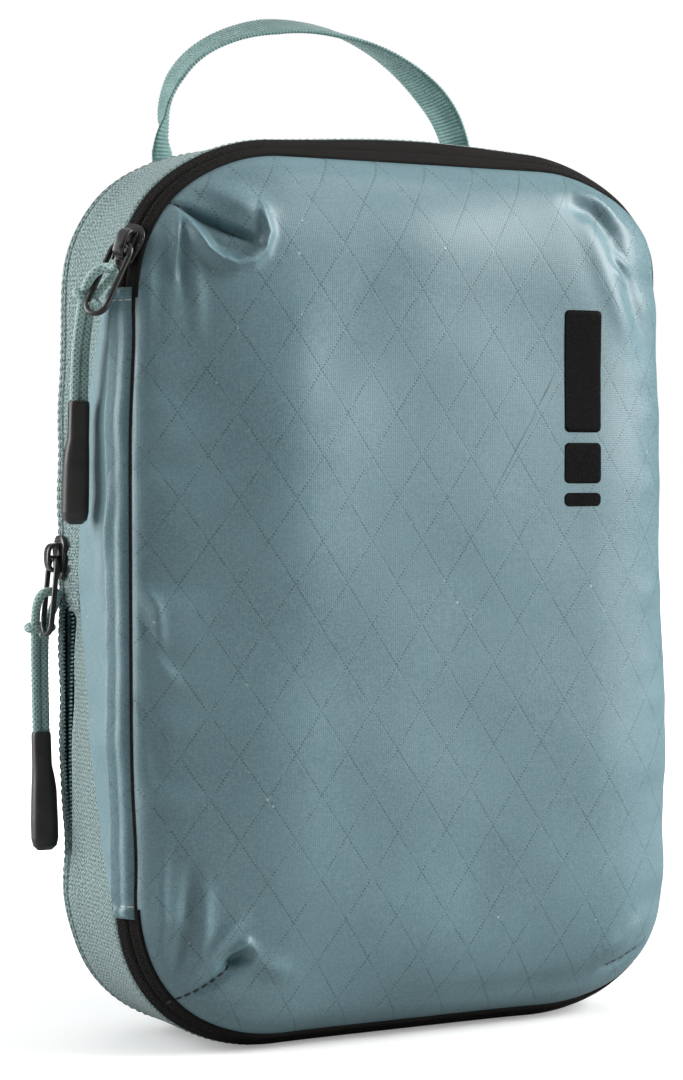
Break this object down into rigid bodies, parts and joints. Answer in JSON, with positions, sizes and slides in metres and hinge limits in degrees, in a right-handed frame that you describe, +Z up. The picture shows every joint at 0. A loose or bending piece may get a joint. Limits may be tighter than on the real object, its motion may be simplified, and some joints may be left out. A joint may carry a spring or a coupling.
{
  "type": "packing cube",
  "caption": "Soft fabric packing cube with a zipped front panel, a compression zipper round its side wall, cord pulls and a top carry loop.",
  "frame": {"origin": "on the surface the cube stands on, at the middle of its width and below the middle of its side wall", "axes": "+X to the right of the front panel, +Y from the front panel to the back panel, +Z up"},
  "size_m": [0.1961, 0.0765, 0.3027],
  "materials": {
    "ripstop": "coated woven, soft sheen",
    "knit": "matt woven tape",
    "black_tape": "matt woven tape",
    "coil": "moulded",
    "green_coil": "moulded",
    "slider": "black enamel, satin",
    "cord": "braided",
    "grip": "moulded, satin",
    "webbing": "ribbed weave",
    "binding": "matt tape",
    "print": "screen print"
  },
  "bodies": {
    "back_half": {"back_panel": "ripstop", "back_wall": "knit", "back_seam_binding": "binding", "compression_tape_back": "knit", "compression_coil_back": "green_coil", "compression_stop": "green_coil", "expansion_gusset": "ripstop", "handle_tail_left": "webbing", "handle_tail_right": "webbing"},
    "front_half": {"gusset_wall": "knit", "compression_tape_front": "knit", "compression_coil_front": "green_coil", "compression_tape_end": "knit", "hinge_strip": "ripstop", "main_tape_body": "black_tape", "main_coil_body": "coil", "main_tape_end": "black_tape"},
    "lid": {"lid_panel": "ripstop", "lid_tape": "black_tape", "lid_coil": "coil", "lid_seam_binding": "binding"},
    "main_slider": {"main_slider": "slider"},
    "main_pull": {"main_bail": "slider", "main_cord": "cord", "main_cord_collar": "cord", "main_grip": "grip"},
    "compression_slider": {"compression_slider": "slider"},
    "compression_pull": {"compression_bail": "slider", "compression_cord": "cord", "compression_cord_collar": "cord", "compression_grip": "grip"},
    "handle": {"handle_webbing": "webbing"}
  },
  "joints": [
    {"name": "expand", "type": "slide", "parent": "back_half", "child": "front_half", "axis": [0, -1, 0], "range_m": [0, 0.04], "deforming": ["expansion_gusset"]},
    {"name": "lid_hinge", "type": "hinge", "parent": "front_half", "child": "lid", "pos_m": [-0.0886, -0.025, 0.13], "axis": [0, 0, -1], "range_deg": [0, 90]},
    {"name": "main_slider_travel", "type": "hinge", "parent": "front_half", "child": "main_slider", "pos_m": [-0.043, -0.0216, 0.21], "axis": [0, 1, 0], "range_deg": [0, 60]},
    {"name": "main_pull_swing", "type": "hinge", "parent": "main_slider", "child": "main_pull", "pos_m": [-0.08997, -0.02345, 0.22898], "axis": [-0.5037, 0.8396, 0.2035], "range_deg": [0, 100]},
    {"name": "compression_slider_travel", "type": "slide", "parent": "back_half", "child": "compression_slider", "axis": [0, 0, 1], "range_m": [0, 0.06]},
    {"name": "compression_pull_swing", "type": "hinge", "parent": "compression_slider", "child": "compression_pull", "pos_m": [-0.0969, 0.0146, 0.141], "axis": [0, 1, 0], "range_deg": [0, 150]},
    {"name": "handle_fold", "type": "hinge", "parent": "back_half", "child": "handle", "pos_m": [-0.004, 0.032, 0.2525], "axis": [1, 0, 0], "range_deg": [-110, 40], "stiffness_Nm_per_rad": 0.02}
  ]
}
